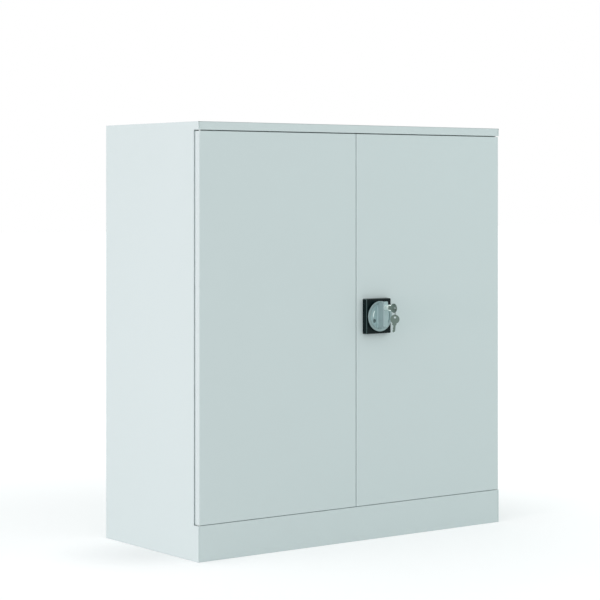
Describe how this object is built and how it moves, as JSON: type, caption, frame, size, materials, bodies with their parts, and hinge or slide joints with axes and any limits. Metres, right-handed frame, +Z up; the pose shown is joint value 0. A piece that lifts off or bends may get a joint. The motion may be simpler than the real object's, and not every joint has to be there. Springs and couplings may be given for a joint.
{
  "type": "steel storage cupboard",
  "caption": "Low steel storage cupboard with hinged double doors, adjustable shelves, and a turn handle that drives lock rods and holds a keyed cylinder.",
  "frame": {"origin": "on the floor, under the middle of the space that the whole cupboard takes up, handle and keys included", "axes": "+Z up, +X to the right as seen from the front, +Y towards the back; the doors face -Y"},
  "size_m": [0.92, 0.4838, 1],
  "materials": {
    "powder_coat": "fine textured matt powder coat, light grey-green",
    "zinc": "bright zinc plating",
    "nylon": "natural nylon",
    "rubber": "matt black rubber",
    "black_housing": "satin black moulding",
    "satin_handle": "satin silver die casting",
    "key_metal": "nickel-plated brass, slightly dull"
  },
  "bodies": {
    "cabinet": {"left_side_panel": "powder_coat", "right_side_panel": "powder_coat", "top_panel": "powder_coat", "plinth": "powder_coat", "bottom_panel": "powder_coat", "back_panel": "powder_coat", "shelf_upright_left_front": "powder_coat", "shelf_upright_left_rear": "powder_coat", "shelf_upright_right_front": "powder_coat", "shelf_upright_right_rear": "powder_coat", "lower_shelf": "powder_coat", "upper_shelf": "powder_coat", "lower_shelf_clip_left_front": "zinc", "lower_shelf_clip_left_rear": "zinc", "lower_shelf_clip_right_front": "zinc", "lower_shelf_clip_right_rear": "zinc", "upper_shelf_clip_left_front": "zinc", "upper_shelf_clip_left_rear": "zinc", "upper_shelf_clip_right_front": "zinc", "upper_shelf_clip_right_rear": "zinc", "hinge_pin_left_top": "zinc", "hinge_pin_left_bottom": "zinc", "hinge_pin_right_top": "zinc", "hinge_pin_right_bottom": "zinc", "hinge_washer_left": "nylon", "hinge_washer_right": "nylon", "door_buffer_left_top": "rubber", "door_buffer_left_bottom": "rubber", "door_buffer_right_top": "rubber", "door_buffer_right_bottom": "rubber"},
    "left_door": {"left_door_panel": "powder_coat", "left_door_stiffener": "powder_coat", "left_door_bush_top": "nylon", "left_door_bush_bottom": "nylon"},
    "right_door": {"right_door_panel": "powder_coat", "right_door_stiffener": "powder_coat", "right_door_bush_top": "nylon", "right_door_bush_bottom": "nylon", "lock_housing": "black_housing", "lock_plate": "zinc", "upper_rod_guide": "nylon", "lower_rod_guide": "nylon", "housing_screw_lower_left": "zinc", "housing_screw_lower_right": "zinc", "housing_screw_upper_left": "zinc", "housing_screw_upper_right": "zinc"},
    "handle": {"handle_knob": "satin_handle", "lock_cylinder": "satin_handle", "spindle": "zinc", "drive_disc": "zinc", "latch_cam": "zinc", "spindle_nut": "zinc"},
    "upper_rod": {"upper_lock_rod": "zinc"},
    "lower_rod": {"lower_lock_rod": "zinc"},
    "key_plug": {"key_plug": "satin_handle"},
    "lock_key": {"lock_key": "key_metal"},
    "key_ring": {"key_ring": "zinc"},
    "spare_key": {"spare_key": "key_metal"}
  },
  "joints": [
    {"name": "left_door_hinge", "type": "hinge", "parent": "cabinet", "child": "left_door", "pos_m": [-0.4518, -0.15188, 0.5], "axis": [0, 0, -1], "range_deg": [0, 180]},
    {"name": "right_door_hinge", "type": "hinge", "parent": "cabinet", "child": "right_door", "pos_m": [0.4518, -0.15188, 0.5], "axis": [0, 0, 1], "range_deg": [0, 180]},
    {"name": "handle_turn", "type": "hinge", "parent": "right_door", "child": "handle", "pos_m": [0.0552, -0.17213, 0.5394], "axis": [0, -1, 0], "range_deg": [0, 90]},
    {"name": "upper_rod_slide", "type": "slide", "parent": "right_door", "child": "upper_rod", "axis": [0, 0, 1], "range_m": [0, 0.0255]},
    {"name": "lower_rod_slide", "type": "slide", "parent": "right_door", "child": "lower_rod", "axis": [0, 0, -1], "range_m": [0, 0.0255]},
    {"name": "plug_turn", "type": "hinge", "parent": "handle", "child": "key_plug", "pos_m": [0.0552, -0.21413, 0.5612], "axis": [0, -1, 0], "range_deg": [0, 90]},
    {"name": "key_pull", "type": "slide", "parent": "key_plug", "child": "lock_key", "axis": [0, -1, 0], "range_m": [0, 0.019]},
    {"name": "ring_swing", "type": "hinge", "parent": "lock_key", "child": "key_ring", "pos_m": [0.0552, -0.23363, 0.5612], "axis": [1, 0, 0], "range_deg": [-60, 10]},
    {"name": "spare_key_swing", "type": "hinge", "parent": "key_ring", "child": "spare_key", "pos_m": [0.0552, -0.23363, 0.5395], "axis": [0.6004, 0.7997, 0], "range_deg": [-30, 20]}
  ],
  "couplings": [
    {"joint": "upper_rod_slide", "follows": "handle_turn", "m_per_rad": 0.0162},
    {"joint": "lower_rod_slide", "follows": "handle_turn", "m_per_rad": 0.0162}
  ]
}
